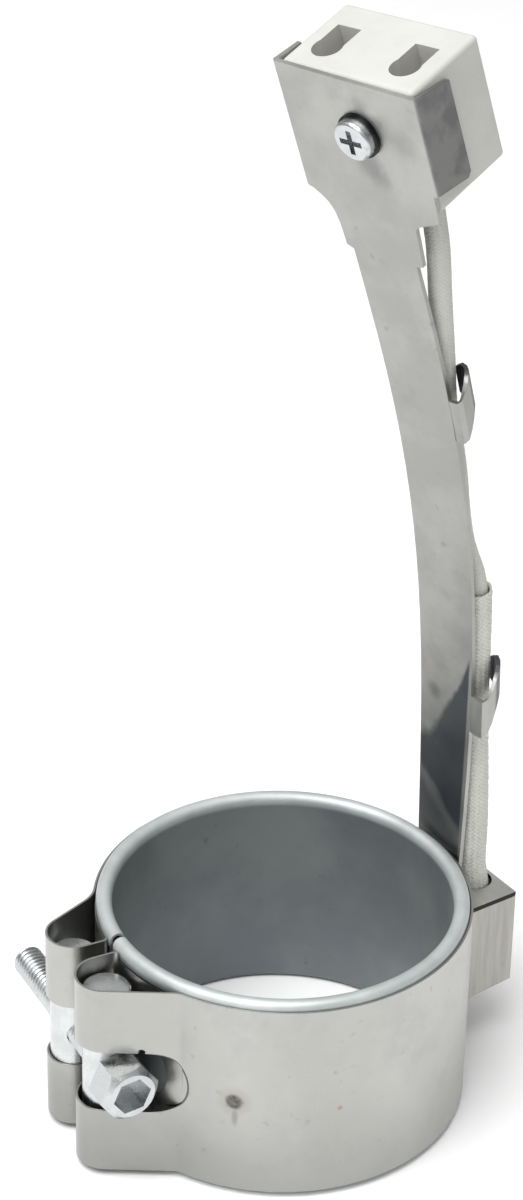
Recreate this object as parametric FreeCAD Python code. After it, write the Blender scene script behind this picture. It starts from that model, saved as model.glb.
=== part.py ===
import FreeCAD, Part
import math, os
from FreeCAD import Vector as V

# ---------------------------------------------------------------------------
# Split band heater with a barrel-nut clamp, a folded terminal box and a sheet
# steel arm that carries a ceramic connector block.
# Frame: origin on the band axis at the middle of its width, +Z up along the
# axis, the clamp at -X. Millimetres. The heights below are measured from the
# edge the band stands on; save() moves every piece down by half the width.
# ---------------------------------------------------------------------------

# driving dimensions: band
bore_r = 31.0            # inside radius of the closed band
band_w = 40.0            # width of the band along its axis
sheath_t = 0.45
rim_outer_r = 33.9       # outside of the rolled hem
rim_over = 1.2           # the hems stand this far beyond the strap's edges
rim_leg = 2.6            # height of the hem's outer leg
split_gap = 1.2          # open joint of the inner sheath

# strap
strap_r = 34.5           # outside radius
strap_t = 0.4
strap_z0, strap_z1 = 0.2, 39.8
flap_az = 52.0           # half angle where the folded-back flap ends
window_h = 13.0
window_az_out = 35.5     # end of the slot in the outer layer
window_az_in = 27.2      # end of the slot in the flap

# clamp
axis_z = 20.0
screw_x = -38.45         # screw axis where it crosses the plane of the joint
tilt = 1.6               # degrees, screw against the tangent
barrel_r = 4.4
barrel_ys = (-7.5, 6.2)  # barrels, head side and threaded side
barrel_z0 = 3.5
barrel_tops = (36.9, 35.4)
screw_r = 2.95
screw_clear_r = 3.3
screw_thread_bore_r = 3.0
head_af = 10.0
head_len = 6.1
head_back_y = -11.97
head_turn = -6.0         # degrees, how the hexagon sits
socket_af = 6.3
socket_depth = 3.6
tip_y = 27.4

# terminal box
arm_az = 8.4             # azimuth of box and arm
box_r1 = 44.8
box_hw = 12.0
box_z0, box_z1 = 9.9, 31.0
box_t = 0.8
box_taper = 1.1          # the cheeks are this much shorter at the outer wall

# arm (one folded strip): start, bend and twist along its length
arm_w = 13.185
arm_t = 0.8
arm_len = 139.862
arm_start_r, arm_start_z = 35.82, 31.0
arm_width_az = 93.785    # direction of the strip's width at the start
arm_lean, arm_roll = -5.622, 8.526
bend = (0.096, -0.052, -2.840, 2.958)    # per 100 mm, cubic along the length
twist = (0.419, -0.360)
edge_bend = -0.120
N_ST = 60

# plate at the top of the arm
plate_w = 28.8
plate_up = 34.578        # from the end of the strip to the plate's top edge
plate_u0 = 13.633        # strip centre from the plate's left edge
plate_side_h = 22.9
flange_d = 8.5
flange_h = 19.8
flange_l_d = 6.4
flange_l_h = 21.6
screw_u, screw_h = 15.5, 9.45     # the block's screw on the plate

# ceramic block
cer_d = 17.8
cer_h = 22.2

# sleeves and leads
sleeve_r, sleeve_ri = 2.0, 1.4
outer_r, outer_ri = 2.75, 2.28
lead_r = 0.55
lead_off = 0.62

os.makedirs("parts", exist_ok=True)
made = {}

def save(name, shape):
    shape = shape.copy()
    shape.translate(V(0, 0, -band_w / 2))
    if isinstance(shape, Part.Compound) and len(shape.Solids) == 1:
        shape = shape.Solids[0]
    shape.exportStep("parts/%s.step" % name)
    made[name] = shape
    bb = shape.BoundBox
    print("%-26s solids %d valid %s vol %9.1f  x %.1f..%.1f y %.1f..%.1f z %.1f..%.1f" % (
        name, len(shape.Solids), shape.isValid(), shape.Volume,
        bb.XMin, bb.XMax, bb.YMin, bb.YMax, bb.ZMin, bb.ZMax))

Z = V(0, 0, 1)
Y = V(0, 1, 0)
O3 = V(0, 0, 0)

def pol(r, az, z=0.0):
    a = math.radians(az)
    return V(r * math.cos(a), r * math.sin(a), z)

def rot(v, ax, an):
    ax = V(ax); ax.normalize()
    c, s = math.cos(an), math.sin(an)
    return v * c + ax.cross(v) * s + ax * (ax.dot(v) * (1 - c))

def ring(r0, r1, z0, z1):
    a = Part.makeCylinder(r1, z1 - z0, V(0, 0, z0))
    b = Part.makeCylinder(r0, z1 - z0 + 2, V(0, 0, z0 - 1))
    return a.cut(b)

def box(x0, x1, y0, y1, z0, z1):
    return Part.makeBox(x1 - x0, y1 - y0, z1 - z0, V(x0, y0, z0))

def gap_cut(w, r=60.0):
    # the open joint of the band, at -X
    return box(-r, 0, -w / 2, w / 2, -5, 50)

def prism(pts, origin, ex, ey, depth_dir, depth):
    # polygon in the plane (ex, ey) pushed along depth_dir
    vs = [origin + ex * p[0] + ey * p[1] for p in pts]
    w = Part.makePolygon(vs + [vs[0]])
    return Part.Face(w).extrude(depth_dir * depth)

def hexprism(c, axis, af, length, start):
    # regular hexagon across flats af, flats square to start
    axis = V(axis); axis.normalize()
    e1 = V(start); e1 = e1 - axis * e1.dot(axis); e1.normalize()
    e2 = axis.cross(e1)
    R = af / math.sqrt(3)
    pts = [(R * math.cos(math.radians(30 + 60 * i)), R * math.sin(math.radians(30 + 60 * i))) for i in range(6)]
    return prism(pts, c, e1, e2, axis, length)

# ------------------------------------------------------------------ band
def hem_profile():
    # inner wall with a hem rolled outwards at both ends
    ro, t = rim_outer_r, sheath_t
    R = (ro - bore_r) / 2.0
    c = bore_r + R
    top, bot = band_w + rim_over, -rim_over
    zt = top - R
    e = []
    P = lambda r, z: V(r, 0, z)
    zb = bot + R
    arc = lambda a, m, b: Part.Arc(a, m, b).toShape()
    line = lambda a, b: Part.LineSegment(a, b).toShape()
    ri = R - t
    e.append(line(P(bore_r, zb), P(bore_r, zt)))
    e.append(arc(P(bore_r, zt), P(c, zt + R), P(ro, zt)))
    e.append(line(P(ro, zt), P(ro, top - rim_leg)))
    e.append(line(P(ro, top - rim_leg), P(ro - t, top - rim_leg)))
    e.append(line(P(ro - t, top - rim_leg), P(ro - t, zt)))
    e.append(arc(P(ro - t, zt), P(c, zt + ri), P(bore_r + t, zt)))
    e.append(line(P(bore_r + t, zt), P(bore_r + t, zb)))
    e.append(arc(P(bore_r + t, zb), P(c, zb - ri), P(ro - t, zb)))
    e.append(line(P(ro - t, zb), P(ro - t, bot + rim_leg)))
    e.append(line(P(ro - t, bot + rim_leg), P(ro, bot + rim_leg)))
    e.append(line(P(ro, bot + rim_leg), P(ro, zb)))
    e.append(arc(P(ro, zb), P(c, zb - R), P(bore_r, zb)))
    return Part.Face(Part.Wire(Part.__sortEdges__(e)))

sheath = hem_profile().revolve(O3, Z, 360)
sheath = sheath.cut(gap_cut(split_gap))
save("inner_sheath", sheath)

# insulation and element between the sheaths; all open at the joint
pin_az = (arm_az - 15.2, arm_az + 15.2)
def radial_hole(r, az, z, r0, r1):
    return Part.makeCylinder(r, r1 - r0, pol(r0, az, z), pol(1, az))

save("mica_inner", ring(31.49, 31.90, 1.8, 38.2).cut(gap_cut(2.0)))
core = ring(31.94, 32.34, 2.0, 38.0).cut(gap_cut(3.0))
save("mica_core", core)

# flat ribbon laid to and fro over the core, one continuous path
rib_t0, rib_t1 = 32.38, 32.58
n_row = 9
pitch = 3.6
z_first = 20.0 - pitch * (n_row - 1) / 2
rib_w = 1.6
def shell(r0, r1, a0, a1, z0, z1):
    # ring sector whose own seam lies at its end, clear of the pattern
    o = Part.makeCylinder(r1, z1 - z0, V(0, 0, z0), Z, a1 - a0)
    i = Part.makeCylinder(r0, z1 - z0 + 2, V(0, 0, z0 - 1), Z, 360)
    q = o.cut(i)
    q.rotate(O3, Z, a0)
    return q
rib_end = 172.0
rib = shell(rib_t0, rib_t1, -rib_end, rib_end, z_first - rib_w / 2, z_first + pitch * (n_row - 1) + rib_w / 2)
slots_ = []
for i in range(n_row - 1):
    z0 = z_first + i * pitch + rib_w / 2
    z1 = z0 + pitch - rib_w
    lo, hi = (-rib_end - 3, rib_end - 3) if i % 2 == 0 else (-rib_end + 3, rib_end + 3)
    slots_.append(shell(rib_t0 - 0.5, rib_t1 + 0.5, lo, hi, z0, z1))
rib = rib.cut(slots_)
rib = rib.removeSplitter()
save("resistance_ribbon", rib)

mica_o = ring(32.62, 33.02, 2.0, 38.0).cut(gap_cut(3.0))
osh = ring(33.06, 33.48, 2.7, 37.3).cut(gap_cut(3.0))
for az in pin_az:
    mica_o = mica_o.cut(radial_hole(0.6, az, axis_z, 30, 36))
    osh = osh.cut(radial_hole(1.75, az, axis_z, 32.5, 36))
save("mica_outer", mica_o)
save("outer_sheath", osh)

# ------------------------------------------------------------------ strap
rm_out = strap_r - strap_t / 2                # mean radius of the strap
rm_in = rm_out - strap_t - 0.04               # mean radius of the folded-back flap
corner_r = 1.2                                # mean radius of the fold where the flap leaves the ring
# each loop: centre (y towards the clamp's own side), mean radius, slope of the outer wall, radius of its run on to the ring
loop_head = (-38.6, 7.5, 5.1, 27.0, 4.0)
loop_nut = (-38.6, 6.3, 4.8, 24.0, 7.0)

def xy(c, r, a):
    return V(c.x + r * math.cos(math.radians(a)), c.y + r * math.sin(math.radians(a)), 0)

def strip_solid(segs, t, z0, z1):
    # constant-thickness strip along arcs (centre, radius, from, to) and lines (from, to)
    left, right, ends = [], [], []
    for s in segs:
        if s[0] == "arc":
            _, c, r, a0, a1 = s
            m = (a0 + a1) / 2
            dl = -t / 2 if a1 > a0 else t / 2
            for lst, d in ((left, dl), (right, -dl)):
                lst.append(Part.Arc(xy(c, r + d, a0), xy(c, r + d, m), xy(c, r + d, a1)).toShape())
            ends.append(((xy(c, r + dl, a0), xy(c, r - dl, a0)), (xy(c, r + dl, a1), xy(c, r - dl, a1))))
        else:
            _, a, b = s
            d = b - a; d.normalize(); n = V(-d.y, d.x, 0) * (t / 2)
            left.append(Part.LineSegment(a + n, b + n).toShape())
            right.append(Part.LineSegment(a - n, b - n).toShape())
            ends.append(((a + n, a - n), (b + n, b - n)))
    caps = [Part.LineSegment(*ends[0][0]).toShape(), Part.LineSegment(*ends[-1][1]).toShape()]
    f = Part.Face(Part.Wire(Part.__sortEdges__(left + right + caps)))
    f.translate(V(0, 0, z0))
    return f.extrude(V(0, 0, z1 - z0))

def sector(c, rm, t, a0, a1, z0, z1):
    # ring sector about c, mean radius rm, from angle a0 to a1 (degrees, a1>a0)
    o = Part.makeCylinder(rm + t / 2, z1 - z0, V(c.x, c.y, z0), Z, a1 - a0)
    i = Part.makeCylinder(rm - t / 2, z1 - z0 + 2, V(c.x, c.y, z0 - 1), Z, 360)
    s = o.cut(i)
    s.rotate(V(c.x, c.y, 0), Z, a0)
    return s

def slot_tool(az_end, r0, r1):
    # slot with a round end on the ring side, for the loop on the -Y side
    h = window_h / 2
    mid = 180 + az_end - math.degrees(h / strap_r)
    w = Part.makeCylinder(r1, window_h, V(0, 0, axis_z - h), Z, mid - 176)
    w = w.cut(Part.makeCylinder(r0, window_h + 2, V(0, 0, axis_z - h - 1)))
    w.rotate(O3, Z, 176)
    return w.fuse(Part.makeCylinder(h, r1 - r0, pol(r0, mid, axis_z), pol(1, mid)))

def loop_solids(par):
    # built on the -Y side; returns the flap, the loop with its outer wall, and where the wall meets the ring
    cx, cy, R, slope, Rf = par
    c = V(cx, -cy, 0)
    y_w = -cy + R
    Cc = V(-math.sqrt((rm_in + corner_r) ** 2 - (corner_r - y_w) ** 2), y_w - corner_r, 0)
    a_c = math.degrees(math.atan2(-Cc.y, -Cc.x))
    flap = strip_solid([("arc", O3, rm_in, 180 + flap_az, 180 + a_c)], strap_t, strap_z0, strap_z1)
    a_e = 360 - slope - 90
    p0 = xy(c, R, a_e)
    d = V(math.cos(math.radians(-slope)), math.sin(math.radians(-slope)), 0)
    n = V(math.cos(math.radians(a_e)), math.sin(math.radians(a_e)), 0)
    q = p0 + n * Rf
    bq = q.x * d.x + q.y * d.y
    s = -bq - math.sqrt(bq * bq - (q.x ** 2 + q.y ** 2 - (rm_out + Rf) ** 2))
    Cf = q + d * s
    az_t = math.degrees(math.atan2(Cf.y, Cf.x)) % 360
    a_in = az_t - 180
    wall = strip_solid([("arc", Cc, corner_r, a_c, 90), ("line", xy(Cc, corner_r, 90), xy(c, R, 90)), ("arc", c, R, 90, a_e),
                        ("line", p0, p0 + d * s), ("arc", Cf, Rf, 90 - slope, a_in)], strap_t, strap_z0, strap_z1)
    print("loop: line %.2f, fold at %.2f, meets ring at %.2f" % (s, 180 + a_c, az_t))
    return flap, wall, az_t

# the flap and the folds stay clear of the rolled hems
relief = [ring(20, strap_r - strap_t - 0.02, 38.35, 45), ring(20, strap_r - strap_t - 0.02, -5, 1.65)]
pieces = []
ring_ends = []
for side, par in ((-1, loop_head), (1, loop_nut)):
    flap, wall, az_t = loop_solids(par)
    flap = flap.cut(slot_tool(window_az_in, 33.0, 36.5))
    wall = wall.cut(slot_tool(window_az_out, 28.0, 60.0))
    flap = flap.cut(relief)
    wall = wall.cut(relief)
    if side < 0:
        # small relief at the corner of the slot
        wall = wall.cut(Part.makeCylinder(0.55, 30, pol(30, 203.6, axis_z + window_h / 2 + 0.35), pol(1, 203.6)))
    weld = Part.makeCylinder(1.3, 0.3, pol(rm_in - 0.02, 229.9, axis_z), pol(1, 229.9))
    grp = [flap, wall, weld]
    if side > 0:
        grp = [g.mirror(O3, Y) for g in grp]
    ring_ends.append(az_t if side < 0 else 360 - az_t)
    pieces += grp
strap = sector(O3, rm_out, strap_t, ring_ends[0] - 360, ring_ends[1], strap_z0, strap_z1)
tool = slot_tool(window_az_out, 34.08, 37.0)
strap = strap.cut([tool, tool.mirror(O3, Y)])
for s in pieces:
    strap = strap.fuse(s)
for az in pin_az:
    strap = strap.cut(radial_hole(2.1, az, axis_z, 32.9, 36))
strap = strap.removeSplitter()
print("strap solids", len(strap.Solids), strap.Volume)
save("clamp_strap", strap)

# ------------------------------------------------------------------ clamp
ax = V(-math.sin(math.radians(tilt)), math.cos(math.radians(tilt)), 0)   # head to tip
on_axis = V(screw_x, 0, axis_z)
def at_y(y):
    return on_axis + ax * (y / ax.y)

def barrel(y, top, bore):
    c = at_y(y)
    s = Part.makeCylinder(barrel_r, top - barrel_z0, V(c.x, c.y, barrel_z0))
    s = s.makeChamfer(0.35, [e for e in s.Edges if len(e.Vertexes) == 1 or isinstance(e.Curve, Part.Circle)])
    return s.cut(Part.makeCylinder(bore, 30, V(c.x, c.y, axis_z) - ax * 15, ax))
save("barrel_nut_head_side", barrel(barrel_ys[0], barrel_tops[0], screw_clear_r))
save("barrel_nut_threaded", barrel(barrel_ys[1], barrel_tops[1], screw_thread_bore_r))

hb = at_y(head_back_y)
square = Z * math.cos(math.radians(head_turn)) + ax.cross(Z) * math.sin(math.radians(head_turn))
head = hexprism(hb - ax * head_len, ax, head_af, head_len, square)
# crowned face: chamfer the hexagon with a cone
cone = Part.makeCone(head_af / 2 - 0.6, head_af / 2 - 0.6 + head_len, head_len, hb - ax * head_len, ax)
head = head.common(cone)
sock = hexprism(hb - ax * (head_len + 0.01), ax, socket_af, socket_depth, square)
head = head.cut(sock)
L_sh = (at_y(tip_y) - hb).Length
shank = Part.makeCylinder(screw_r, L_sh - 0.8, hb, ax)
tip = Part.makeCone(screw_r, screw_r - 0.7, 0.8, hb + ax * (L_sh - 0.8), ax)
save("clamp_screw", head.fuse([shank, tip]).removeSplitter())
print("screw axis point", at_y(0) - V(0, 0, band_w / 2), "dir", ax)

# ------------------------------------------------------------------ arm path
def frames():
    er, et = pol(1, arm_az), pol(1, arm_az + 90)
    P = er * arm_start_r + et * 0.105 + V(0, 0, arm_start_z)
    W = pol(1, arm_width_az); Nn = pol(1, arm_width_az - 90); T = V(0, 0, 1)
    l, r_ = math.radians(arm_lean), math.radians(arm_roll)
    T = rot(T, W, l); Nn = rot(Nn, W, l)
    T = rot(T, Nn, r_); W = rot(W, Nn, r_)
    out = [(P, T, W, Nn)]
    ds = arm_len / N_ST
    for i in range(N_ST):
        u = (i + .5) / N_ST
        k = (bend[0] + bend[1] * u + bend[2] * u * u + bend[3] * u ** 3) / 100.
        ta = (twist[0] + twist[1] * u) / 100.
        om = W * k + T * ta + Nn * (edge_bend / 100.)
        an = om.Length * ds
        P = P + T * (ds / 2)
        T, W, Nn = [rot(v, om, an) for v in (T, W, Nn)]
        P = P + T * (ds / 2)
        out.append((P, T, W, Nn))
    return out
FR = frames()
def at(s):
    f = max(0.0, min(N_ST - 1e-9, s / arm_len * N_ST)); i = int(f); g = f - i
    a, b = FR[i], FR[i + 1]
    if s > arm_len:
        P, T, W, Nn = FR[-1]
        return (P + T * (s - arm_len), T, W, Nn)
    if s < 0:
        P, T, W, Nn = FR[0]
        return (P + T * s, T, W, Nn)
    out = [a[0] * (1 - g) + b[0] * g]
    for q in (1, 2, 3):
        v = a[q] * (1 - g) + b[q] * g; v.normalize(); out.append(v)
    return tuple(out)
def off(s, a, b):
    # a: outwards from the strip's free edge (toward the clips), b: behind the strip
    P, T, W, Nn = at(s)
    return P - W * (arm_w / 2 + a) + Nn * b

def rect(P, W, Nn, w, t):
    v = [P + W * (w / 2) - Nn * (t / 2), P - W * (w / 2) - Nn * (t / 2), P - W * (w / 2) + Nn * (t / 2), P + W * (w / 2) + Nn * (t / 2)]
    return Part.makePolygon(v + [v[0]])

er, et = pol(1, arm_az), pol(1, arm_az + 90)
foot_r = strap_r + 0.06 + arm_t / 2
foot = Part.makeLoft([rect(er * foot_r + V(0, 0, z), et, er, arm_w, arm_t) for z in (11.5, 22.0)]
                     + [rect(FR[0][0], FR[0][2], FR[0][3], arm_w, arm_t)], True, True)
secs = []
for i in range(0, N_ST + 1, 3):
    P, T, W, Nn = FR[i]
    secs.append(rect(P, W, Nn, arm_w, arm_t))
strip = Part.makeLoft(secs, True, False).fuse(foot)

# plate, neck and its lugs, all in the plane of the strip's end
Pe, Te, We, Ne = FR[-1]
OP = Pe + Te * plate_up + We * plate_u0 - Ne * (arm_t / 2)
U = We * -1.0
D = Te * -1.0
def pl(u, v, h):
    return OP + U * u + Ne * v + D * h
sl, sr = plate_u0 - arm_w / 2, plate_u0 + arm_w / 2
outline = [(0, -0.9), (plate_w, 0), (plate_w, 18.2), (27.95, 18.4), (27.9, 21.5), (27.5, 23.7), (22.9, 25.6), (22.2, 26.4), (22.1, 28.4),
           (21.7, 33.9), (sr, 34.2), (sr, plate_up), (sl, plate_up), (sl, 34.2), (5.7, 33.6), (5.5, 29.6), (5.0, 27.2),
           (4.2, 25.6), (3.0, 24.4), (1.5, 23.4), (0, plate_side_h)]
plate = prism(outline, OP, U, D, Ne, arm_t)
fr_r = prism([(0, 0), (flange_d, 1.6), (flange_d, flange_h - 1.1), (flange_d - 0.8, flange_h - 0.3), (0.9, 18.4), (0, 18.2)], OP + U * (plate_w - arm_t), Ne, D, U, arm_t)
fr_l = prism([(0, -0.9), (flange_l_d, -0.3), (flange_l_d, flange_l_h - 2), (0, flange_l_h)], OP, Ne, D, U, arm_t)
panel = plate.fuse([fr_r, fr_l]).removeSplitter()
# rounded outer bends
bends = []
for e in panel.Edges:
    if e.Length > 12 and abs((e.Vertexes[0].Point - e.Vertexes[-1].Point).normalize().dot(D)) > 0.999:
        m = (e.Vertexes[0].Point + e.Vertexes[-1].Point) * 0.5 - OP
        if abs(m.dot(Ne)) < 0.01 and (abs(m.dot(U)) < 0.01 or abs(m.dot(U) - plate_w) < 0.01):
            bends.append(e)
panel = panel.makeFillet(0.75, bends)
print("bends", len(bends), "panel valid", panel.isValid(), "strip valid", strip.isValid())
bracket = strip.fuse(panel)

# clips: a lug of the strip's edge folded back round the sleeve, climbing a little as it wraps
def ear(s0, path, lift, rise, height, less):
    P, T, W, Nn = at(s0)
    base = P - W * (arm_w / 2)
    secs_ = []
    t = 0.7
    for i, (a, b) in enumerate(path):
        p, q = path[max(i - 1, 0)], path[min(i + 1, len(path) - 1)]
        d = (q[0] - p[0], q[1] - p[1]); m = math.hypot(*d); n = (-d[1] / m, d[0] / m)
        c = base - W * a + Nn * b + T * (lift * rise[i])
        nn = W * (-n[0]) + Nn * n[1]
        hh = height / 2.0 - (0.9 if i == len(path) - 1 else 0)
        hl = hh - less * rise[i]
        v = [c + nn * (t / 2) + T * hh, c - nn * (t / 2) + T * hh, c - nn * (t / 2) - T * hl, c + nn * (t / 2) - T * hl]
        secs_.append(Part.makePolygon(v + [v[0]]))
    return Part.makeLoft(secs_, True, True)
clip_up = [(-1.2, 0), (0.8, 0), (1.7, 0.10), (2.1, 0.55), (2.1, 1.4), (1.9, 2.4), (1.5, 3.3), (1.0, 4.1), (0.2, 4.7), (-0.9, 4.95), (-2.2, 5.0)]
clip_low = [(-1.2, 0), (1.5, 0), (2.6, 0.15), (3.0, 0.8), (2.85, 1.9), (2.4, 3.0), (1.8, 4.1), (1.0, 5.2), (0.0, 6.1), (-1.2, 6.7), (-2.6, 6.9)]
rise = (0, 0, 0.02, 0.15, 0.42, 0.68, 0.87, 0.97, 1.0, 1.0, 1.0)
ears = [ear(108.2, clip_up, 4.0, rise, 8.6, 1.4), ear(44.4, clip_low, 4.9, rise, 8.2, 1.6)]
print("ears valid", [e.isValid() for e in ears])
bracket = bracket.fuse(ears)

# hole for the block's screw
scr = pl(screw_u, 0, screw_h)
bracket = bracket.cut(Part.makeCylinder(2.2, 3, scr - Ne * 1, Ne)).removeSplitter()
save("arm_bracket", bracket)

# ------------------------------------------------------------------ terminal box
def bx(r, t, z):
    return er * r + et * t + V(0, 0, z)
def cheek(t0, t1):
    pts = [(31.0, box_z0), (31.0, box_z1 - box_t - 0.15), (box_r1, box_z1 - box_t - 0.15), (box_r1, box_z0 + box_taper)]
    return prism(pts, et * t0, er, Z, et, t1 - t0)
outside = Part.makeCylinder(strap_r + 0.06, 60, V(0, 0, -5))
body = cheek(-box_hw, -box_hw + box_t).fuse([cheek(box_hw - box_t, box_hw)])
wall = prism([(-box_hw, box_z0 + box_taper), (box_hw, box_z0 + box_taper), (box_hw, box_z1 - box_t - 0.15), (-box_hw, box_z1 - box_t - 0.15)], er * (box_r1 - box_t), et, Z, er, box_t)
floor_pts = [bx(31.0, -box_hw, box_z0), bx(box_r1, -box_hw, box_z0 + box_taper), bx(box_r1, box_hw, box_z0 + box_taper), bx(31.0, box_hw, box_z0)]
floor_ = Part.Face(Part.makePolygon(floor_pts + [floor_pts[0]])).extrude(V(0, 0, box_t))
body = body.fuse([wall, floor_]).cut(outside)
foot_slot = prism([(foot_r - 1.2, -arm_w / 2 - 0.4), (foot_r + 1.6, -arm_w / 2 - 0.4), (foot_r + 1.6, arm_w / 2 + 0.4), (foot_r - 1.2, arm_w / 2 + 0.4)], V(0, 0, 0), er, et, Z, 60)
body = body.cut(foot_slot)
save("terminal_box_body", body.removeSplitter())
lid = prism([(31.0, -box_hw), (box_r1 + 0.0, -box_hw), (box_r1 + 0.0, box_hw), (31.0, box_hw)], V(0, 0, box_z1 - box_t), er, et, Z, box_t)
lid = lid.cut(outside)
P0, T0, W0, N0 = at(0.0)
lid = lid.cut(prism([(-arm_w / 2 - 0.7, -1.25), (arm_w / 2 + 0.7, -1.25), (arm_w / 2 + 0.7, 1.25), (-arm_w / 2 - 0.7, 1.25)], P0 - T0 * 6, W0, N0, T0, 14))

# ------------------------------------------------------------------ sleeves and leads
def rounded(points):
    # straight runs joined by arcs tangent to both
    edges, radii = [], []
    cur = points[0]
    for i in range(1, len(points) - 1):
        p0, p, p1 = points[i - 1], points[i], points[i + 1]
        d0 = p - p0; d1 = p1 - p; l0, l1 = d0.Length, d1.Length
        d0.normalize(); d1.normalize()
        turn = math.acos(max(-1.0, min(1.0, d0.dot(d1))))
        if turn < 1e-3:
            continue
        cut = 0.45 * min(l0, l1)
        r = cut / math.tan(turn / 2)
        radii.append(round(r, 1))
        a, b = p - d0 * cut, p + d1 * cut
        bis = d1 - d0; bis.normalize()
        m = p + bis * (r / math.cos(turn / 2) - r)
        edges.append(Part.LineSegment(cur, a).toShape())
        edges.append(Part.Arc(a, m, b).toShape())
        cur = b
    edges.append(Part.LineSegment(cur, points[-1]).toShape())
    return Part.Wire(edges), radii

def tube(points, r, ri=None, label=""):
    w, radii = rounded(points)
    d = points[1] - points[0]; d.normalize()
    def pipe(rr):
        prof = Part.Wire(Part.makeCircle(rr, points[0], d))
        return w.makePipeShell([prof], True, True)
    s = pipe(r)
    area = math.pi * r * r
    if ri:
        s = s.cut(pipe(ri)); area -= math.pi * ri * ri
    print(label, "radii", radii, "volume/section*length %.4f" % (s.Volume / (area * w.Length)))
    return s

route = [(6.0, -1.7, 3.6), (15.0, -1.5, 3.5), (26.0, -2.2, 3.45), (37.0, -3.1, 3.5), (48.0, -3.3, 3.5), (59.0, -2.9, 3.5),
         (71.0, -2.2, 3.4), (77.0, -4.6, 3.05), (84.0, -4.9, 2.75), (96.0, -4.0, 2.65), (108.0, -4.2, 2.65), (119.0, -2.3, 2.9),
         (130.0, -1.1, 3.9), (139.8, 0.1, 5.2)]
upper = [off(*q) for q in route]
cer_entry = pl(20.9, 6.6, cer_h + 0.05)
cer_pre = pl(20.6, 6.0, cer_h + 7.5)
box_in = bx(41.0, -4.6, 24.0)
box_mid = bx(41.0, -4.5, 30.0)
main = [box_in, box_mid] + upper + [cer_pre, cer_entry]
save("upper_sleeve", tube(main, sleeve_r, sleeve_ri, "upper_sleeve"))
low_pts = [box_in, box_mid] + upper[:6] + [upper[5] + (upper[6] - upper[5]) * (10.0 / 12.0)]
save("lower_outer_sleeve", tube(low_pts, outer_r, outer_ri, "lower_outer_sleeve"))
lid = lid.cut(Part.makeCylinder(3.25, 8, bx(40.8, -4.55, 27), Z))
save("terminal_box_lid", lid.removeSplitter())

# two leads side by side in the sleeve
def side_dir(i):
    return et if i < 2 else (at(route[min(max(i - 2, 0), len(route) - 1)][0])[2] if i - 2 < len(route) else We)
for k, sgn in (("a", 1), ("b", -1)):
    pts = [p + side_dir(i) * (sgn * lead_off) for i, p in enumerate(main)]
    tail = bx(41.0, -4.6, 20.5) + et * (sgn * lead_off)
    head_pt = pl(20.9, 6.6, cer_h - 3.4) + We * (sgn * lead_off)
    pts = [tail] + pts[1:-1] + [pts[-1], head_pt]
    save("lead_%s" % k, tube(pts, lead_r, None, "lead_" + k))

# ------------------------------------------------------------------ ceramic block and contacts
c0 = arm_t + 0.05
cw0, cw1 = arm_t + 0.15, plate_w - arm_t - 0.15
def cbox(u0, u1, v0, v1, h0, h1):
    return prism([(u0, v0), (u1, v0), (u1, v1), (u0, v1)], pl(0, 0, h0), U, Ne, D, h1 - h0)
cer = cbox(cw0, cw1, c0, cer_d, -0.6, cer_h)
cer = cer.makeFillet(0.9, cer.Edges)
# keyhole slots from the top
def slot(uc):
    s = cbox(uc - 2.4, uc + 2.4, 7.2, 12.2, -2, 12.5)
    c = Part.makeCylinder(2.65, 14.5, pl(uc, 6.5, -2), D)
    return s.fuse(c)
slots_u = (6.3, 22.2)
for uc in slots_u:
    cer = cer.cut(slot(uc))
    cer = cer.cut(cbox(uc - 3.0, uc + 3.0, 3.2, 13.4, 12.4, cer_h + 1))
# channel that joins the two chambers low down, behind the screw
cer = cer.cut(cbox(8.0, 20.4, 4.6, 9.6, 18.4, cer_h + 1))
cer = cer.cut(Part.makeCylinder(2.15, 30, scr - Ne * 1, Ne))
cer = cer.cut(hexprism(scr + Ne * (cer_d - 3.6), Ne, 7.3, 5, U))
save("ceramic_block", cer.removeSplitter())

for k, uc in (("a", slots_u[0]), ("b", slots_u[1])):
    h0, h1 = 4.0, 14.4
    leaf1 = cbox(uc - 1.75, uc - 1.35, 7.4, 10.9, h0, h1)
    leaf2 = cbox(uc + 1.35, uc + 1.75, 7.4, 10.9, h0, h1)
    base = cbox(uc - 1.75, uc + 1.75, 7.4, 10.9, h1 - 0.5, h1)
    wing = cbox(uc - 2.9, uc + 2.9, 9.9, 12.9, h1 - 0.6, h1)
    con = leaf1.fuse([leaf2, base, wing])
    con = con.cut(Part.makeCylinder(1.1, 4, pl(uc, 11.9, h1 - 2), D))
    save("contact_%s" % k, con.removeSplitter())
    sc = Part.makeCylinder(1.05, 1.6, pl(uc, 11.9, h1 - 1.0), D).fuse(Part.makeCylinder(1.35, 1.4, pl(uc, 11.9, h1 + 0.02), D))
    save("contact_screw_%s" % k, sc)

# pan-head screw, washer and nut
head_r, head_h = 3.6, 1.8
wz0 = 0.7
was = Part.makeCylinder(4.0, wz0, scr - Ne * (wz0), Ne).cut(Part.makeCylinder(2.15, 5, scr - Ne * 2, Ne))
save("block_washer", was)
ph = Part.makeCylinder(head_r, head_h, scr - Ne * (wz0 + head_h), Ne)
ph = ph.makeFillet(0.7, [e for e in ph.Edges if isinstance(e.Curve, Part.Circle) and (e.Curve.Center - (scr - Ne * (wz0 + head_h))).Length < 0.01])
ph = ph.fuse(Part.makeCylinder(1.95, cer_d + wz0 - 0.3, scr - Ne * wz0, Ne))
for uu, vv in ((U, D), (D, U)):
    q = prism([(-2.2, -0.5), (2.2, -0.5), (2.2, 0.5), (-2.2, 0.5)], scr - Ne * (wz0 + head_h + 0.01), uu, vv, Ne, 1.3)
    ph = ph.cut(q)
save("block_screw", ph.removeSplitter())
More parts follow.
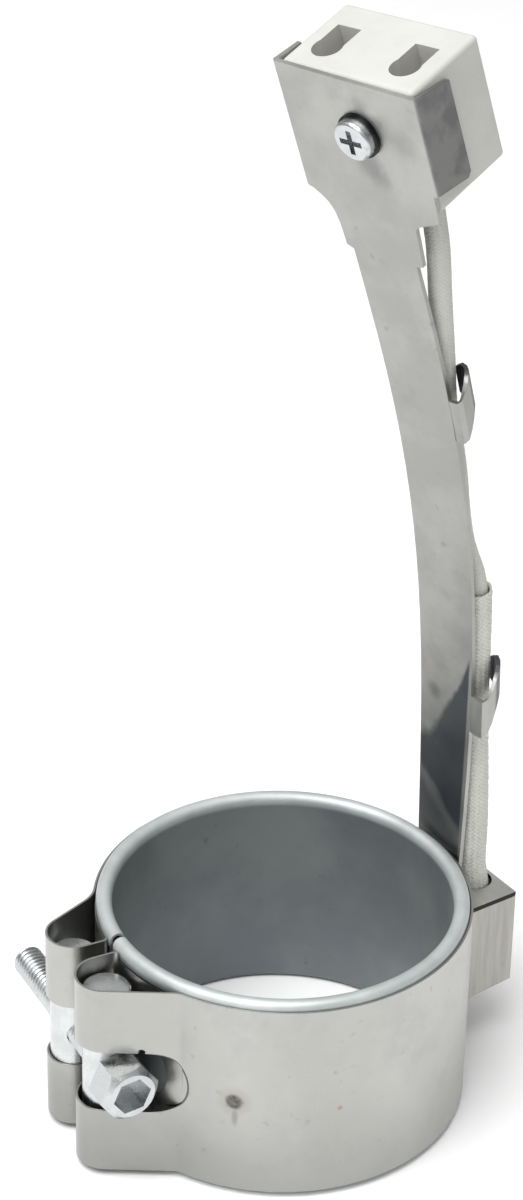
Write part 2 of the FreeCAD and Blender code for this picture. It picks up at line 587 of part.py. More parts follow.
nut = hexprism(scr + Ne * (cer_d - 3.55), Ne, 7.0, 3.2, U).cut(Part.makeCylinder(2.0, 8, scr + Ne * (cer_d - 5), Ne))
save("block_nut", nut)

# ------------------------------------------------------------------ feed-through pins inside the box
for k, az in (("a", pin_az[0]), ("b", pin_az[1])):
    d = pol(1, az)
    bead = Part.makeCylinder(1.7, 2.8, pol(33.1, az, axis_z), d).cut(Part.makeCylinder(0.62, 6, pol(32, az, axis_z), d))
    save("feed_bead_%s" % k, bead)
    save("feed_pin_%s" % k, Part.makeCylinder(0.55, 5.2, pol(32.8, az, axis_z), d))

# overlaps between pieces
names = sorted(made)
for i, a in enumerate(names):
    for b in names[i + 1:]:
        A, B = made[a], made[b]
        if not A.BoundBox.intersect(B.BoundBox):
            continue
        v = A.common(B).Volume
        if v > 0.005:
            print("OVERLAP %s / %s %.3f" % (a, b, v))
print("nodes", len(made))
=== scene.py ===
import bpy, bmesh, math
from mathutils import Vector, Matrix


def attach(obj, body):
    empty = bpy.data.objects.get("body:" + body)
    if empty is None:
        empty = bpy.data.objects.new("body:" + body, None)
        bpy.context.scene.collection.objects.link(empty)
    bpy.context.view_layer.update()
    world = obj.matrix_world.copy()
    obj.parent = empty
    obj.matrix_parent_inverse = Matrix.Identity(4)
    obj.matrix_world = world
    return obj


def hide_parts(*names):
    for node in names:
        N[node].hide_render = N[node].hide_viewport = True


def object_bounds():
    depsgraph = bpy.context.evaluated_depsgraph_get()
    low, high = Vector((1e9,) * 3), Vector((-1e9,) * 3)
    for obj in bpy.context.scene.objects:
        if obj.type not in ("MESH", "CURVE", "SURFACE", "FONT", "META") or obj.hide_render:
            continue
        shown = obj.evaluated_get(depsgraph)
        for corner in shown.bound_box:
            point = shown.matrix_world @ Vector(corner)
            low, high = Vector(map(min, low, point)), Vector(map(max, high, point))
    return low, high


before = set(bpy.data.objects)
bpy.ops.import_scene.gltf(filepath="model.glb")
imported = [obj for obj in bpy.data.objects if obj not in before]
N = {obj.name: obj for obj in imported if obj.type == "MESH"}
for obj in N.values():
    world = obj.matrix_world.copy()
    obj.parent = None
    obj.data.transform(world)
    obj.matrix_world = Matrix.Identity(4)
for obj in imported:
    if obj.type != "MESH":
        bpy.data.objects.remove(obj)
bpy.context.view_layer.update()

MM = 0.001

# ------------------------------------------------------------------ node helpers
def new_mat(name):
    m = bpy.data.materials.new(name)
    m.use_nodes = True
    nt = m.node_tree
    for n in list(nt.nodes):
        nt.nodes.remove(n)
    out = nt.nodes.new("ShaderNodeOutputMaterial")
    b = nt.nodes.new("ShaderNodeBsdfPrincipled")
    nt.links.new(b.outputs[0], out.inputs[0])
    return m, nt, b

class G:
    """Short calls for building a node tree."""
    def __init__(self, nt):
        self.nt = nt
        self.co = nt.nodes.new("ShaderNodeTexCoord").outputs["Object"]
    def put(self, sock, v):
        if isinstance(v, bpy.types.NodeSocket):
            self.nt.links.new(v, sock)
        else:
            sock.default_value = v
    def math(self, op, a, b=0.0, c=None, clamp=False):
        n = self.nt.nodes.new("ShaderNodeMath"); n.operation = op; n.use_clamp = clamp
        self.put(n.inputs[0], a); self.put(n.inputs[1], b)
        if c is not None: self.put(n.inputs[2], c)
        return n.outputs[0]
    def noise(self, scale, detail=3.0, rough=0.5, vec=None, dist=0.0):
        n = self.nt.nodes.new("ShaderNodeTexNoise")
        n.inputs["Scale"].default_value = scale; n.inputs["Detail"].default_value = detail
        n.inputs["Roughness"].default_value = rough; n.inputs["Distortion"].default_value = dist
        self.nt.links.new(vec or self.co, n.inputs["Vector"])
        return n.outputs["Fac"]
    def scaled(self, s, vec=None):
        n = self.nt.nodes.new("ShaderNodeMapping"); n.inputs["Scale"].default_value = s
        self.nt.links.new(vec or self.co, n.inputs["Vector"])
        return n.outputs[0]
    def xyz(self, vec=None):
        n = self.nt.nodes.new("ShaderNodeSeparateXYZ"); self.nt.links.new(vec or self.co, n.inputs[0])
        return n.outputs[0], n.outputs[1], n.outputs[2]
    def ramp(self, f, stops, interp="LINEAR"):
        n = self.nt.nodes.new("ShaderNodeValToRGB"); n.color_ramp.interpolation = interp
        e = n.color_ramp.elements
        while len(e) < len(stops): e.new(0.5)
        for i, (p, c) in enumerate(stops):
            e[i].position = p
            e[i].color = (c, c, c, 1) if isinstance(c, (int, float)) else (*c, 1)
        self.put(n.inputs[0], f)
        return n.outputs[0]
    def smooth(self, v, lo, hi, a=0.0, b=1.0):
        n = self.nt.nodes.new("ShaderNodeMapRange"); n.interpolation_type = "SMOOTHSTEP"
        self.put(n.inputs[0], v)
        n.inputs[1].default_value = lo; n.inputs[2].default_value = hi
        n.inputs[3].default_value = a; n.inputs[4].default_value = b
        return n.outputs[0]
    def mix(self, f, a, b, mode="MIX"):
        n = self.nt.nodes.new("ShaderNodeMix"); n.data_type = "RGBA"; n.blend_type = mode
        self.put(n.inputs[0], f)
        for s, v in ((n.inputs[6], a), (n.inputs[7], b)):
            self.put(s, v if isinstance(v, bpy.types.NodeSocket) else (*v, 1))
        return n.outputs[2]
    def dist(self, p, vec=None, scale=(1, 1, 1)):
        s = self.nt.nodes.new("ShaderNodeVectorMath"); s.operation = "SUBTRACT"
        self.nt.links.new(vec or self.co, s.inputs[0]); s.inputs[1].default_value = p
        m = self.nt.nodes.new("ShaderNodeVectorMath"); m.operation = "MULTIPLY"
        self.nt.links.new(s.outputs[0], m.inputs[0]); m.inputs[1].default_value = scale
        n = self.nt.nodes.new("ShaderNodeVectorMath"); n.operation = "LENGTH"
        self.nt.links.new(m.outputs[0], n.inputs[0])
        return n.outputs["Value"]
    def along(self, p, n):
        """Signed distance from the plane through p with normal n."""
        s = self.nt.nodes.new("ShaderNodeVectorMath"); s.operation = "SUBTRACT"
        self.nt.links.new(self.co, s.inputs[0]); s.inputs[1].default_value = tuple(p)
        d = self.nt.nodes.new("ShaderNodeVectorMath"); d.operation = "DOT_PRODUCT"
        self.nt.links.new(s.outputs[0], d.inputs[0]); d.inputs[1].default_value = tuple(n)
        return d.outputs["Value"]
    def normal_z(self):
        gm = self.nt.nodes.new("ShaderNodeNewGeometry")
        return self.xyz(gm.outputs["Normal"])[2]
    def bump(self, h, strength, distance=0.001):
        n = self.nt.nodes.new("ShaderNodeBump")
        n.inputs["Strength"].default_value = strength; n.inputs["Distance"].default_value = distance
        self.put(n.inputs["Height"], h)
        return n.outputs[0]

def steel(name, light, dark, rough=(0.25, 0.4), big=45.0, fine=900.0, bump=0.05, stretch=(1, 1, 1), extra=None, metallic=1.0):
    m, nt, b = new_mat(name)
    g = G(nt)
    vec = g.scaled(stretch)
    big_n = g.noise(big, 4.0, 0.6, vec)
    fine_n = g.noise(fine, 3.0, 0.6, vec)
    cloud = g.smooth(big_n, 0.35, 0.68)
    col = g.mix(cloud, dark, light)
    speck = g.smooth(g.noise(420.0, 2.0, 0.5), 0.66, 0.80, 0.0, 0.35)
    col = g.mix(speck, col, tuple(c * 0.55 for c in dark))
    if extra: col = extra(g, col)
    g.put(b.inputs["Base Color"], col)
    b.inputs["Metallic"].default_value = metallic
    r = g.math("ADD", g.smooth(big_n, 0.3, 0.7, rough[0], rough[1]), g.math("MULTIPLY", fine_n, 0.08))
    g.put(b.inputs["Roughness"], r)
    g.put(b.inputs["Normal"], g.bump(fine_n, bump, 0.0004))
    return m

# ------------------------------------------------------------------ arm path, as the strip is bent and twisted
arm_len, n_st, arm_w = 139.862, 60, 13.185
def rotv(v, ax, an):
    return Matrix.Rotation(an, 3, ax.normalized()) @ v
def pol(r, az, z=0.0):
    a = math.radians(az); return Vector((r * math.cos(a), r * math.sin(a), z))
er, et = pol(1, 8.4), pol(1, 98.4)
P = er * 35.82 + et * 0.105 + Vector((0, 0, 31.0))
W = pol(1, 93.785); NN = pol(1, 3.785); T = Vector((0, 0, 1))
l, r_ = math.radians(-5.622), math.radians(8.526)
T = rotv(T, W, l); NN = rotv(NN, W, l); T = rotv(T, NN, r_); W = rotv(W, NN, r_)
FR = [(P.copy(), T.copy(), W.copy(), NN.copy())]
ds = arm_len / n_st
for i in range(n_st):
    u = (i + .5) / n_st
    k = (0.096 - 0.052 * u - 2.840 * u * u + 2.958 * u ** 3) / 100.
    om = W * k + T * ((0.419 - 0.360 * u) / 100.) + NN * (-0.120 / 100.)
    an = om.length * ds
    P = P + T * (ds / 2)
    T, W, NN = [rotv(v, om, an) for v in (T, W, NN)]
    P = P + T * (ds / 2)
    FR.append((P.copy(), T.copy(), W.copy(), NN.copy()))
def at(s):
    if s >= arm_len:
        p, t, w, n = FR[-1]; return p + t * (s - arm_len), t, w, n
    f = s / arm_len * n_st; i = int(f); g = f - i
    return tuple(FR[i][q].lerp(FR[i + 1][q], g) for q in range(4))
def off(s, a, b):
    p, t, w, n = at(s); return p - w * (arm_w / 2 + a) + n * b
pe, te, we, ne = FR[-1]
origin = pe + te * 34.578 + we * 13.633 - ne * 0.4
def pl(u, v, h):
    return origin - we * u + ne * v - te * h
def row(p):
    return Vector((p.x, p.y, p.z - 20.0)) * MM

# ------------------------------------------------------------------ materials
def strap_extra(g, col):
    x, y, z = g.xyz()
    # painted shade: the strap is painted darker towards the bottom, most on its -x side
    wander = g.math("MULTIPLY", g.math("SUBTRACT", g.noise(40.0, 4.0, 0.6), 0.5), 0.016)
    low = g.smooth(g.math("ADD", z, wander), -0.019, 0.004, 0.55, 0.0)
    side = g.smooth(x, -0.045, 0.024, 1.0, 0.30)
    col = g.mix(g.math("MULTIPLY", low, side), col, (0.20, 0.20, 0.19))
    # thin shadow line where the slot's round end lies on the folded-back layer
    ac = math.radians(204.7)
    ctr = (34.5 * MM * math.cos(ac), 34.5 * MM * math.sin(ac), 0.0)
    tt = g.along(ctr, (-math.sin(ac), math.cos(ac), 0.0))
    rad = g.math("SQRT", g.math("ADD", g.math("MULTIPLY", tt, tt), g.math("MULTIPLY", z, z)))
    line = g.smooth(g.math("ABSOLUTE", g.math("SUBTRACT", rad, 0.00645)), 0.00008, 0.00030, 1.0, 0.0)
    near = g.math("MULTIPLY", g.smooth(tt, 0.0005, 0.0025), g.smooth(x, -0.0230, -0.0215, 1.0, 0.0))
    col = g.mix(g.math("MULTIPLY", g.math("MULTIPLY", line, near), 0.85), col, (0.05, 0.05, 0.05))
    mottle = g.smooth(g.noise(75.0, 5.0, 0.68), 0.47, 0.70, 0.0, 0.22)
    col = g.mix(mottle, col, (0.28, 0.28, 0.27))
    a = math.radians(230.0)
    spot = (34.5 * MM * math.cos(a), 34.5 * MM * math.sin(a), -0.4 * MM)
    wob = g.math("MULTIPLY", g.noise(900.0), 0.0006)
    d = g.math("ADD", g.dist(spot), wob)
    col = g.mix(g.smooth(d, 0.0014, 0.0023, 0.86, 0.0), col, g.mix(g.smooth(g.noise(1500.0), 0.4, 0.6), (0.05, 0.047, 0.043), (0.13, 0.12, 0.11)))
    halo = g.math("MULTIPLY", g.smooth(d, 0.0020, 0.0040, 1.0, 0.0), g.smooth(d, 0.0014, 0.0022, 0.0, 1.0))
    col = g.mix(g.math("MULTIPLY", halo, 0.35), col, (0.30, 0.27, 0.22))
    run = g.dist((spot[0] + 0.0002, spot[1], spot[2] - 0.0035), scale=(1.6, 1.6, 0.55))
    col = g.mix(g.smooth(run, 0.0003, 0.0014, 0.45, 0.0), col, (0.16, 0.15, 0.13))
    b2 = math.radians(261.4)
    red = g.dist((34.5 * MM * math.cos(b2), 34.5 * MM * math.sin(b2), -1.8 * MM))
    col = g.mix(g.smooth(red, 0.0002, 0.0007, 0.5, 0.0), col, (0.35, 0.12, 0.09))
    return col

M_STRAP = steel("polished_strap", (0.475, 0.475, 0.455), (0.415, 0.415, 0.395), (0.24, 0.33), big=32.0, extra=strap_extra, stretch=(1, 1, 0.7))

def hem_extra(g, col):
    x, y, z = g.xyz()
    r = g.math("SQRT", g.math("ADD", g.math("MULTIPLY", x, x), g.math("MULTIPLY", y, y)))
    top = g.smooth(z, 0.0188, 0.0199)
    low = g.math("MULTIPLY", g.smooth(z, -0.0199, -0.0188, 1.0, 0.0), g.smooth(r, 0.0316, 0.0323))
    light = g.mix(g.smooth(g.noise(120.0), 0.35, 0.65), (0.46, 0.50, 0.49), (0.54, 0.58, 0.575))
    return g.mix(g.math("ADD", top, low, clamp=True), col, light)
M_HEM = steel("dull_inner_sheet", (0.225, 0.255, 0.25), (0.155, 0.175, 0.185), (0.42, 0.55), big=30.0, fine=700.0, bump=0.08, extra=hem_extra, metallic=0.55)

def lid_side_shade(g, col):
    # painted shade: the lid's side faces, turned away from vertical, are painted near-black
    return g.mix(g.smooth(g.math("ABSOLUTE", g.normal_z()), 0.3, 0.8), (0.035, 0.033, 0.032), col)
M_BOX = steel("folded_box_sheet", (0.44, 0.43, 0.40), (0.34, 0.33, 0.305), (0.34, 0.46), big=55.0, fine=900.0, bump=0.08, stretch=(9, 9, 0.7))
M_LID = steel("box_lid_sheet", (0.62, 0.625, 0.59), (0.50, 0.505, 0.475), (0.44, 0.56), big=120.0, extra=lid_side_shade)

E0, E1 = row(off(0.0, 0.0, 0.0)), row(off(62.0, 0.0, 0.0))
W_LOW = (at(30.0)[2] * -1.0).normalized()
_up = (E1 - E0).normalized()
W_LOW = (W_LOW - _up * W_LOW.dot(_up)).normalized()
N_LOW = _up.cross(W_LOW); N_LOW = N_LOW if N_LOW.dot(at(30.0)[3]) > 0 else -N_LOW
P_FL, N_FL = row(pl(28.8, 0, 0)), -we
P_UP, W_UP, N_UP = row(off(108.2, 0.0, 0.0)), -at(108.2)[2], at(108.2)[3]

def arm_extra(g, col):
    x, y, z = g.xyz()
    a = g.along(E0, W_LOW)                                  # 0 on the free edge, negative over the strip
    b = g.along(E0, N_LOW)
    w = g.math("ADD", 1.0, g.math("MULTIPLY", a, 1.0 / 0.013185), clamp=True)
    # painted reflection: below a curved line the arm is painted a dark grey-blue reflection, with a lighter band and a
    # mid-grey zone lower down
    s = g.math("ADD", g.math("SUBTRACT", z, 0.0112), g.math("MULTIPLY", g.math("SUBTRACT", g.noise(60.0, 4.0, 0.6), 0.5), 0.010))
    top = g.math("ADD", 0.0335, g.math("MULTIPLY", g.math("POWER", w, 1.9), 0.0235))
    dark = g.smooth(g.math("SUBTRACT", top, s), -0.0006, 0.0022)
    band_d = g.math("SUBTRACT", s, g.math("SUBTRACT", 0.0245, g.math("MULTIPLY", g.math("POWER", w, 0.8), 0.0125)))
    band = g.math("MULTIPLY", g.smooth(band_d, -0.0034, -0.0006), g.smooth(band_d, 0.0004, 0.0034, 1.0, 0.0))
    below = g.smooth(band_d, -0.0030, -0.0006, 1.0, 0.0)
    on_strip = g.smooth(a, -0.0006, -0.0001, 1.0, 0.0)
    reflection_tint = g.mix(g.smooth(g.noise(50.0), 0.35, 0.65), (0.070, 0.078, 0.095), (0.105, 0.112, 0.118))
    reflection_tint = g.mix(g.math("MULTIPLY", band, 0.75), reflection_tint, (0.27, 0.27, 0.26))
    reflection_tint = g.mix(g.math("MULTIPLY", below, 0.45), reflection_tint, (0.17, 0.17, 0.17))
    col = g.mix(g.math("MULTIPLY", g.math("MULTIPLY", dark, on_strip), 0.94), col, reflection_tint)
    # stain beside the painted dark reflection, faint warm bloom above it
    st1 = row(off(44.0, -9.6, -0.4))
    col = g.mix(g.smooth(g.math("ADD", g.dist(st1), g.math("MULTIPLY", g.noise(300.0), 0.0022)), 0.0014, 0.0034, 0.55, 0.0), col, (0.13, 0.13, 0.12))
    col = g.mix(g.smooth(g.dist(row(off(47.5, -10.8, -0.4))), 0.0002, 0.0022, 0.16, 0.0), col, (0.62, 0.36, 0.36))
    # blotches over the plate and the arm
    st = g.math("MULTIPLY", g.smooth(g.noise(85.0, 5.0, 0.7), 0.54, 0.72), g.smooth(z, 0.030, 0.060))
    col = g.mix(g.math("MULTIPLY", st, 0.34), col, (0.27, 0.27, 0.265))
    for (uu, hh), r0, r1, k in (((15.9, 15.2), 0.0006, 0.0040, 0.50), ((17.6, 17.8), 0.0004, 0.0030, 0.40), ((16.5, 3.2), 0.0004, 0.0024, 0.28), ((24.5, 9.5), 0.0006, 0.0040, 0.26)):
        d = g.math("ADD", g.dist(row(pl(uu, 0, hh))), g.math("MULTIPLY", g.noise(330.0), 0.0024))
        col = g.mix(g.smooth(d, r0 + 0.0012, r1 + 0.0012, k, 0.0), col, (0.16, 0.16, 0.165))
    # the turned-back flange and the backs of the clips stand in shade
    fl = g.math("MULTIPLY", g.smooth(g.along(P_FL, N_FL), -0.00035, -0.00005), g.smooth(z, 0.150, 0.155))
    col = g.mix(g.math("MULTIPLY", fl, 0.90), col, g.mix(g.smooth(g.noise(190.0), 0.4, 0.6), (0.145, 0.145, 0.150), (0.215, 0.215, 0.212)))
    lo_ear = g.math("MULTIPLY", g.smooth(b, 0.0030, 0.0042), g.math("MULTIPLY", g.smooth(z, 0.046, 0.050), g.smooth(z, 0.078, 0.080, 1.0, 0.0)))
    up_ear = g.math("MULTIPLY", g.smooth(g.along(P_UP, N_UP), 0.0028, 0.0038), g.math("MULTIPLY", g.smooth(z, 0.108, 0.112), g.smooth(z, 0.134, 0.137, 1.0, 0.0)))
    col = g.mix(g.math("MULTIPLY", g.math("ADD", lo_ear, up_ear, clamp=True), 0.92), col, (0.075, 0.080, 0.092))
    return col
M_ARM = steel("satin_arm_sheet", (0.435, 0.437, 0.415), (0.345, 0.347, 0.33), (0.36, 0.46), big=70.0, fine=1300.0, bump=0.06, extra=arm_extra)

def zinc(name, tone=(0.60, 0.62, 0.63)):
    return steel(name, tone, tuple(c * 0.84 for c in tone), (0.16, 0.30), big=260.0, fine=1500.0, bump=0.04)
M_ZINC = zinc("bright_zinc")
M_BARREL = zinc("white_zinc", (0.66, 0.68, 0.68))
M_WASH = steel("blackened_spring_steel", (0.045, 0.045, 0.05), (0.02, 0.02, 0.022), (0.35, 0.5), big=200.0)
M_ALLOY = steel("dark_ribbon", (0.30, 0.28, 0.26), (0.20, 0.19, 0.18), (0.35, 0.5), big=150.0)
M_WIRE = steel("plated_wire", (0.60, 0.58, 0.52), (0.45, 0.43, 0.39), (0.3, 0.4), big=300.0)
M_BRASS = steel("formed_brass", (0.70, 0.53, 0.26), (0.56, 0.41, 0.19), (0.25, 0.4), big=300.0)

def plain(name, light, dark, rough, big, bump, fine=1200.0, sss=0.0):
    m, nt, b = new_mat(name)
    g = G(nt)
    n1 = g.noise(big, 4.0, 0.6); n2 = g.noise(fine, 3.0, 0.6)
    col = g.mix(g.smooth(n1, 0.35, 0.65), dark, light)
    pit = g.smooth(g.noise(700.0, 2.0), 0.68, 0.78, 0.0, 0.25)
    col = g.mix(pit, col, tuple(c * 0.7 for c in dark))
    g.put(b.inputs["Base Color"], col)
    g.put(b.inputs["Roughness"], g.math("ADD", g.math("MULTIPLY", n2, 0.12), rough))
    g.put(b.inputs["Normal"], g.bump(n2, bump, 0.0004))
    b.inputs["Subsurface Weight"].default_value = sss
    b.inputs["Subsurface Radius"].default_value = (0.002, 0.0018, 0.0014)
    return m
M_CER = plain("steatite", (0.515, 0.520, 0.485), (0.475, 0.480, 0.448), 0.5, 70.0, 0.12, sss=0.05)
M_MICA = plain("mica_sheet", (0.42, 0.37, 0.28), (0.30, 0.26, 0.19), 0.5, 200.0, 0.1)

def braid(name, light, dark, around, along, depth):
    """Diagonal over-under weave laid out on the tube's own u (along, in m) and v (around, 0 to 1)."""
    m, nt, b = new_mat(name)
    g = G(nt)
    uv = nt.nodes.new("ShaderNodeUVMap"); uv.uv_map = "tube"
    u, v, _ = g.xyz(uv.outputs[0])
    uu = g.math("MULTIPLY", u, along); vv = g.math("MULTIPLY", v, float(around))
    p = g.math("ADD", uu, vv); q = g.math("SUBTRACT", uu, vv)
    sp = g.math("ABSOLUTE", g.math("SINE", g.math("MULTIPLY", p, math.pi)))
    sq = g.math("ABSOLUTE", g.math("SINE", g.math("MULTIPLY", q, math.pi)))
    chk = g.math("GREATER_THAN", g.math("MULTIPLY", g.math("SINE", g.math("MULTIPLY", p, math.pi)), g.math("SINE", g.math("MULTIPLY", q, math.pi))), 0.0)
    a = g.math("MULTIPLY", chk, sp)
    c = g.math("MULTIPLY", g.math("SUBTRACT", 1.0, chk), sq)
    h = g.math("POWER", g.math("ADD", a, c), 0.6)
    grime = g.smooth(g.noise(90.0, 4.0, 0.6), 0.40, 0.70)
    col = g.mix(g.math("MULTIPLY", h, 0.9), dark, light)
    col = g.mix(g.math("MULTIPLY", grime, 0.28), col, tuple(x * 0.80 for x in dark))
    g.put(b.inputs["Base Color"], col)
    b.inputs["Roughness"].default_value = 0.78
    b.inputs["Sheen Weight"].default_value = 0.25
    g.put(b.inputs["Normal"], g.bump(g.math("ADD", h, g.math("MULTIPLY", g.noise(2600.0), 0.25)), depth, 0.0004))
    return m
M_SLEEVE = braid("fine_glass_braid", (0.54, 0.545, 0.50), (0.42, 0.425, 0.385), 14, 1300.0, 0.22)
M_OUTER = braid("coarse_glass_braid", (0.66, 0.665, 0.61), (0.47, 0.475, 0.42), 16, 1100.0, 0.4)

def give(mat, *names):
    for n in names:
        o = N[n]
        o.data.materials.clear()
        o.data.materials.append(mat)
give(M_STRAP, "clamp_strap")
give(M_HEM, "inner_sheath", "outer_sheath")
give(M_BOX, "terminal_box_body")
give(M_LID, "terminal_box_lid")
give(M_ARM, "arm_bracket")
give(M_BARREL, "barrel_nut_head_side", "barrel_nut_threaded")
give(M_ZINC, "block_screw", "block_nut")
give(M_WASH, "block_washer")
give(M_ALLOY, "resistance_ribbon")
give(M_WIRE, "lead_a", "lead_b", "feed_pin_a", "feed_pin_b")
give(M_BRASS, "contact_a", "contact_b", "contact_screw_a", "contact_screw_b")
give(M_CER, "ceramic_block", "feed_bead_a", "feed_bead_b")
give(M_MICA, "mica_inner", "mica_core", "mica_outer")

def soften(name, width, seg=2, angle=35.0):
    o = N[name]
    b = o.modifiers.new("edge", "BEVEL")
    b.width = width; b.segments = seg; b.limit_method = "ANGLE"; b.angle_limit = math.radians(angle)
    b.harden_normals = False
for n, w in (("arm_bracket", 0.00016), ("terminal_box_body", 0.00022), ("terminal_box_lid", 0.00020), ("clamp_strap", 0.00010)):
    soften(n, w)

def tube_mesh(name, pts, r, ri, mat, nd, body, seg=28, step=0.0009, ripple=0.0):
    """Hollow woven tube along a smooth curve through the lead's route, with its own u and v."""
    cu = bpy.data.curves.new(name + "_path", "CURVE"); cu.dimensions = "3D"; cu.resolution_u = 24
    sp = cu.splines.new("NURBS"); sp.points.add(len(pts) - 1)
    for i, p in enumerate(pts):
        sp.points[i].co = (*row(p), 1)
    sp.order_u = 3; sp.use_endpoint_u = True
    tmp = bpy.data.objects.new(name + "_tmp", cu)
    bpy.context.scene.collection.objects.link(tmp)
    me0 = bpy.data.meshes.new_from_object(tmp)
    line = [v.co.copy() for v in me0.vertices]
    bpy.data.objects.remove(tmp); bpy.data.meshes.remove(me0); bpy.data.curves.remove(cu)
    out = [line[0]]; acc = 0.0
    L = [0.0]
    for a, b in zip(line, line[1:]): L.append(L[-1] + (b - a).length)
    n = max(8, int(L[-1] / step)); res = []; j = 0
    for i in range(n + 1):
        t = L[-1] * i / n
        while j < len(L) - 2 and L[j + 1] < t: j += 1
        f = (t - L[j]) / max(1e-12, L[j + 1] - L[j]); res.append((line[j].lerp(line[j + 1], f), t))
    bm = bmesh.new(); uvl = bm.loops.layers.uv.new("tube")
    ref = Vector((0, 1, 0)); rings = []
    def ringat(i, rad, k):
        c, t = res[i]
        d = (res[min(i + 1, n)][0] - res[max(i - 1, 0)][0]).normalized()
        e1 = (ref - d * ref.dot(d)).normalized(); e2 = d.cross(e1)
        vs = []
        for q in range(seg):
            th = 2 * math.pi * q / seg
            rr = rad * (1 - ripple * 0.5 * (1 + math.sin(th * 7 + t * 900.0 * math.pi)) ) if k else rad
            vs.append(bm.verts.new(c + e1 * (math.cos(th) * rr) + e2 * (math.sin(th) * rr)))
        return vs
    outer = [ringat(i, r, 1) for i in range(n + 1)]
    inner = [ringat(i, ri, 0) for i in range(n + 1)]
    def strip(A, B, ta, tb, flip=False):
        for q in range(seg):
            q1 = (q + 1) % seg
            vs = [A[q], A[q1], B[q1], B[q]]
            uv = [(ta, q / seg), (ta, (q + 1) / seg), (tb, (q + 1) / seg), (tb, q / seg)]
            if flip: vs.reverse(); uv.reverse()
            f = bm.faces.new(vs); f.smooth = True
            for lp, c in zip(f.loops, uv): lp[uvl].uv = c
    for i in range(n):
        strip(outer[i], outer[i + 1], res[i][1], res[i + 1][1])
        strip(inner[i], inner[i + 1], res[i][1], res[i + 1][1], True)
    strip(inner[0], outer[0], 0, 0.0005); strip(outer[n], inner[n], 0, 0.0005)
    bmesh.ops.recalc_face_normals(bm, faces=bm.faces)
    me = bpy.data.meshes.new(name); bm.to_mesh(me); bm.free()
    o = bpy.data.objects.new(name, me); bpy.context.scene.collection.objects.link(o)
    me.materials.append(mat)
    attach(o, body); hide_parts(nd)
    return o

route = [(6.0, -1.7, 3.6), (15.0, -1.5, 3.5), (26.0, -2.2, 3.45), (37.0, -3.1, 3.5), (48.0, -3.3, 3.5), (59.0, -2.9, 3.5),
         (71.0, -2.2, 3.4), (77.0, -4.6, 3.05), (84.0, -4.9, 2.75), (96.0, -4.0, 2.65), (108.0, -4.2, 2.65), (119.0, -2.3, 2.9),
         (130.0, -1.1, 3.9), (139.8, 0.1, 5.2)]
def bx(r, t, z):
    return er * r + et * t + Vector((0, 0, z))
start = [bx(41.0, -4.6, 24.0), bx(41.0, -4.5, 30.0)]
ups = [off(*q) for q in route]
main = start + ups + [pl(20.6, 6.0, 29.7), pl(20.9, 6.6, 22.25)]
BODY = "heater"
tube_mesh("woven_sleeve", main, 2.0 * MM, 1.4 * MM, M_SLEEVE, "upper_sleeve", BODY, ripple=0.02)
tube_mesh("woven_outer_sleeve", start + ups[:6] + [ups[5].lerp(ups[6], 10.0 / 12.0)], 2.75 * MM, 2.28 * MM, M_OUTER, "lower_outer_sleeve", BODY, ripple=0.05)

# ------------------------------------------------------------------ clamp screw with its thread
def threaded_screw():
    tilt = math.radians(1.6)
    ax = Vector((-math.sin(tilt), math.cos(tilt), 0.0))
    o_pt = Vector((-38.45, 0.0, 0.0))
    y_back = -11.97; y_tip = 27.4
    t_back = y_back / ax.y; t_tip = y_tip / ax.y
    src = N["clamp_screw"]
    bm = bmesh.new(); bm.from_mesh(src.data)
    mw = src.matrix_world
    bmesh.ops.transform(bm, matrix=mw, verts=bm.verts)
    # keep the head only
    kill = []
    for f in bm.faces:
        c = f.calc_center_median() / MM
        if (c - o_pt).dot(ax) > t_back + 0.02: kill.append(f)
    bmesh.ops.delete(bm, geom=kill, context="FACES")
    for f in bm.faces: f.smooth = False
    # thread: coarse pitch, crest and root flats
    e1 = Vector((0, 0, 1)); e2 = ax.cross(e1)
    pitch, rc, rr = 1.0, 2.93, 2.36
    seg, per = 40, 12
    t0, t1 = t_back - 0.05, t_tip - 0.01
    n = int((t1 - t0) / (pitch / per))
    rings = []
    for i in range(n + 1):
        t = t0 + (t1 - t0) * i / n
        vs = []
        for q in range(seg):
            th = 2 * math.pi * q / seg
            ph = (t / pitch - q / seg) % 1.0
            tri = 1 - abs(ph * 2 - 1)                      # 0 root .. 1 crest
            h = min(1.0, max(0.0, (tri - 0.12) / 0.70))
            rad = rr + (rc - rr) * h
            end = min(1.0, (t_tip - t) / 0.9)
            rad = min(rad, 2.2 + 0.75 * max(0.0, end))
            # plain neck right under the head
            if t < t_back + 0.8: rad = 2.6
            p = (o_pt + ax * t + (e1 * math.cos(th) + e2 * math.sin(th)) * rad) * MM
            vs.append(bm.verts.new(p))
        rings.append(vs)
    for a, b in zip(rings, rings[1:]):
        for q in range(seg):
            f = bm.faces.new((a[q], a[(q + 1) % seg], b[(q + 1) % seg], b[q])); f.smooth = True
    bm.faces.new(rings[-1])
    bmesh.ops.recalc_face_normals(bm, faces=bm.faces)
    me = bpy.data.meshes.new("clamp_screw_threaded"); bm.to_mesh(me); bm.free()
    o = bpy.data.objects.new("clamp_screw_threaded", me); bpy.context.scene.collection.objects.link(o)
    me.materials.append(M_ZINC)
    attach(o, "screw"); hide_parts("clamp_screw")
    return o
threaded_screw()

# ------------------------------------------------------------------ floor, light, camera
lo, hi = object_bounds()
fm, nt, b = new_mat("pale_floor")
g = G(nt)
g.put(b.inputs["Base Color"], g.mix(g.smooth(g.noise(6.0), 0.3, 0.7), (0.90, 0.90, 0.90), (0.92, 0.92, 0.92)))
b.inputs["Roughness"].default_value = 0.8
me = bpy.data.meshes.new("floor")
S = 4.0
me.from_pydata([(-S, -S, 0), (S, -S, 0), (S, S, 0), (-S, S, 0)], [], [(0, 1, 2, 3)])
fl = bpy.data.objects.new("floor", me); bpy.context.scene.collection.objects.link(fl)
fl.location.z = lo[2] - 0.00002
me.materials.append(fm)

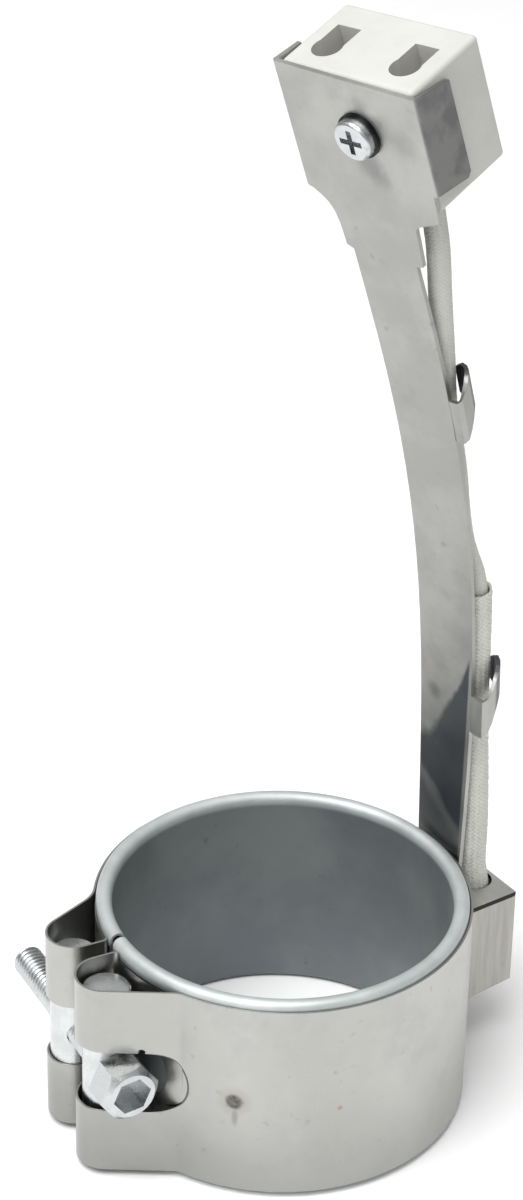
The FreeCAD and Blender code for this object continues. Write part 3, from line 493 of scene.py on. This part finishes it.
w = bpy.data.worlds.new("studio"); bpy.context.scene.world = w
w.use_nodes = True
nt = w.node_tree
for n_ in list(nt.nodes): nt.nodes.remove(n_)
out = nt.nodes.new("ShaderNodeOutputWorld"); bg = nt.nodes.new("ShaderNodeBackground")
tc = nt.nodes.new("ShaderNodeTexCoord"); sx = nt.nodes.new("ShaderNodeSeparateXYZ")
nt.links.new(tc.outputs["Generated"], sx.inputs[0])
rp = nt.nodes.new("ShaderNodeValToRGB")
els = rp.color_ramp.elements
els[0].position = 0.0; els[0].color = (0.34, 0.34, 0.34, 1)
els[1].position = 1.0; els[1].color = (1, 1, 1, 1)
e = els.new(0.45); e.color = (0.62, 0.62, 0.62, 1)
nt.links.new(sx.outputs[2], rp.inputs[0]); nt.links.new(rp.outputs[0], bg.inputs[0])
bg.inputs[1].default_value = 0.80
nt.links.new(bg.outputs[0], out.inputs[0])

def area(name, loc, target, size, power):
    li = bpy.data.lights.new(name, "AREA"); li.shape = "RECTANGLE"; li.size = size[0]; li.size_y = size[1]; li.energy = power
    ob = bpy.data.objects.new(name, li); bpy.context.scene.collection.objects.link(ob)
    ob.location = loc
    ob.rotation_euler = (Vector(target) - Vector(loc)).to_track_quat("-Z", "Y").to_euler()
area("key", (-0.45, -0.20, 1.15), (0, 0, 0.05), (1.0, 1.0), 17.0)
area("fill", (-0.95, -0.50, 0.45), (0, 0, 0.05), (0.6, 0.8), 1.6)

cam = bpy.data.cameras.new("camera"); co = bpy.data.objects.new("camera", cam)
bpy.context.scene.collection.objects.link(co)
cam.lens = 99.5085; cam.sensor_width = 36.0; cam.sensor_fit = "AUTO"
R = Matrix(((0.8986411, 0.2072656, -0.3866331), (-0.4383197, 0.4601685, -0.7720885), (0.017889, 0.8632994, 0.5043749)))
mw = R.to_4x4(); mw.translation = Vector((-0.224658, -0.437455, 0.369365))
co.matrix_world = mw
cam.clip_start = 0.01; cam.clip_end = 20.0
bpy.context.scene.camera = co
bpy.context.scene.view_settings.view_transform = "Standard"
